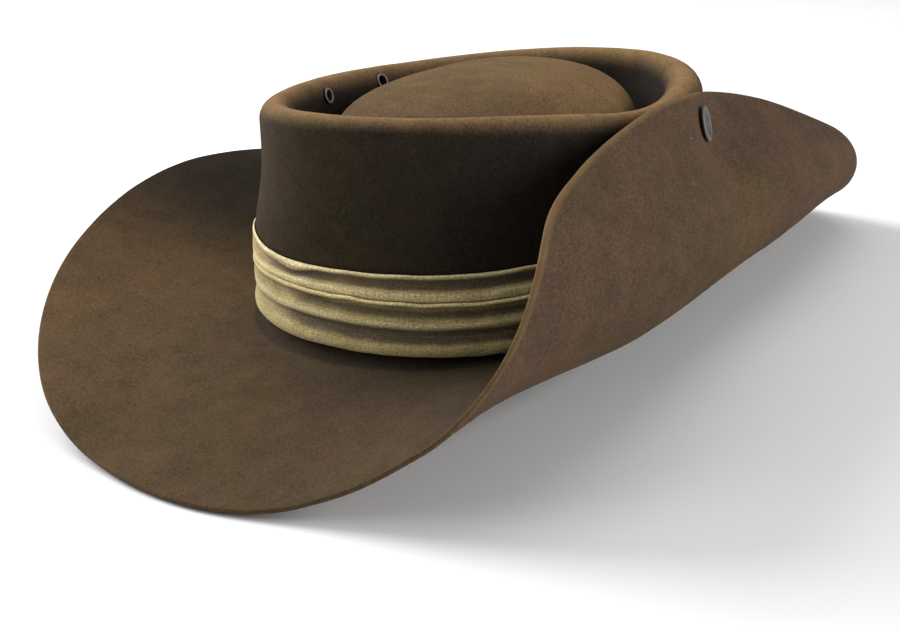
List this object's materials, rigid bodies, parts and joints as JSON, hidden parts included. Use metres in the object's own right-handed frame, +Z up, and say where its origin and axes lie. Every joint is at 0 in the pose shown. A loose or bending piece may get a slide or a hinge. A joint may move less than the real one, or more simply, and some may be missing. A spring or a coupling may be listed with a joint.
{
  "type": "slouch hat",
  "caption": "Wool felt slouch hat with a telescope crown, a wide brim turned up on the wearer's left and fastened by a stud, and a pleated cloth band.",
  "frame": {"origin": "on the surface that the hat rests on, below the middle of its overall box", "axes": "+Z up, the wearer faces -Y, +X is the wearer's left, where the brim is turned up"},
  "size_m": [0.2808, 0.3864, 0.1042],
  "materials": {
    "felt": "brown wool felt with a short nap and a worn cut edge",
    "band_cloth": "faded khaki plain-weave cotton, pleated",
    "stud_metal": "dull dark grey",
    "eyelet_metal": "dark oxidised"
  },
  "bodies": {
    "root": {"felt_body": "felt", "pleated_band": "band_cloth", "press_stud": "stud_metal", "eyelet_1": "eyelet_metal", "eyelet_2": "eyelet_metal", "eyelet_3": "eyelet_metal", "eyelet_4": "eyelet_metal"}
  },
  "joints": []
}
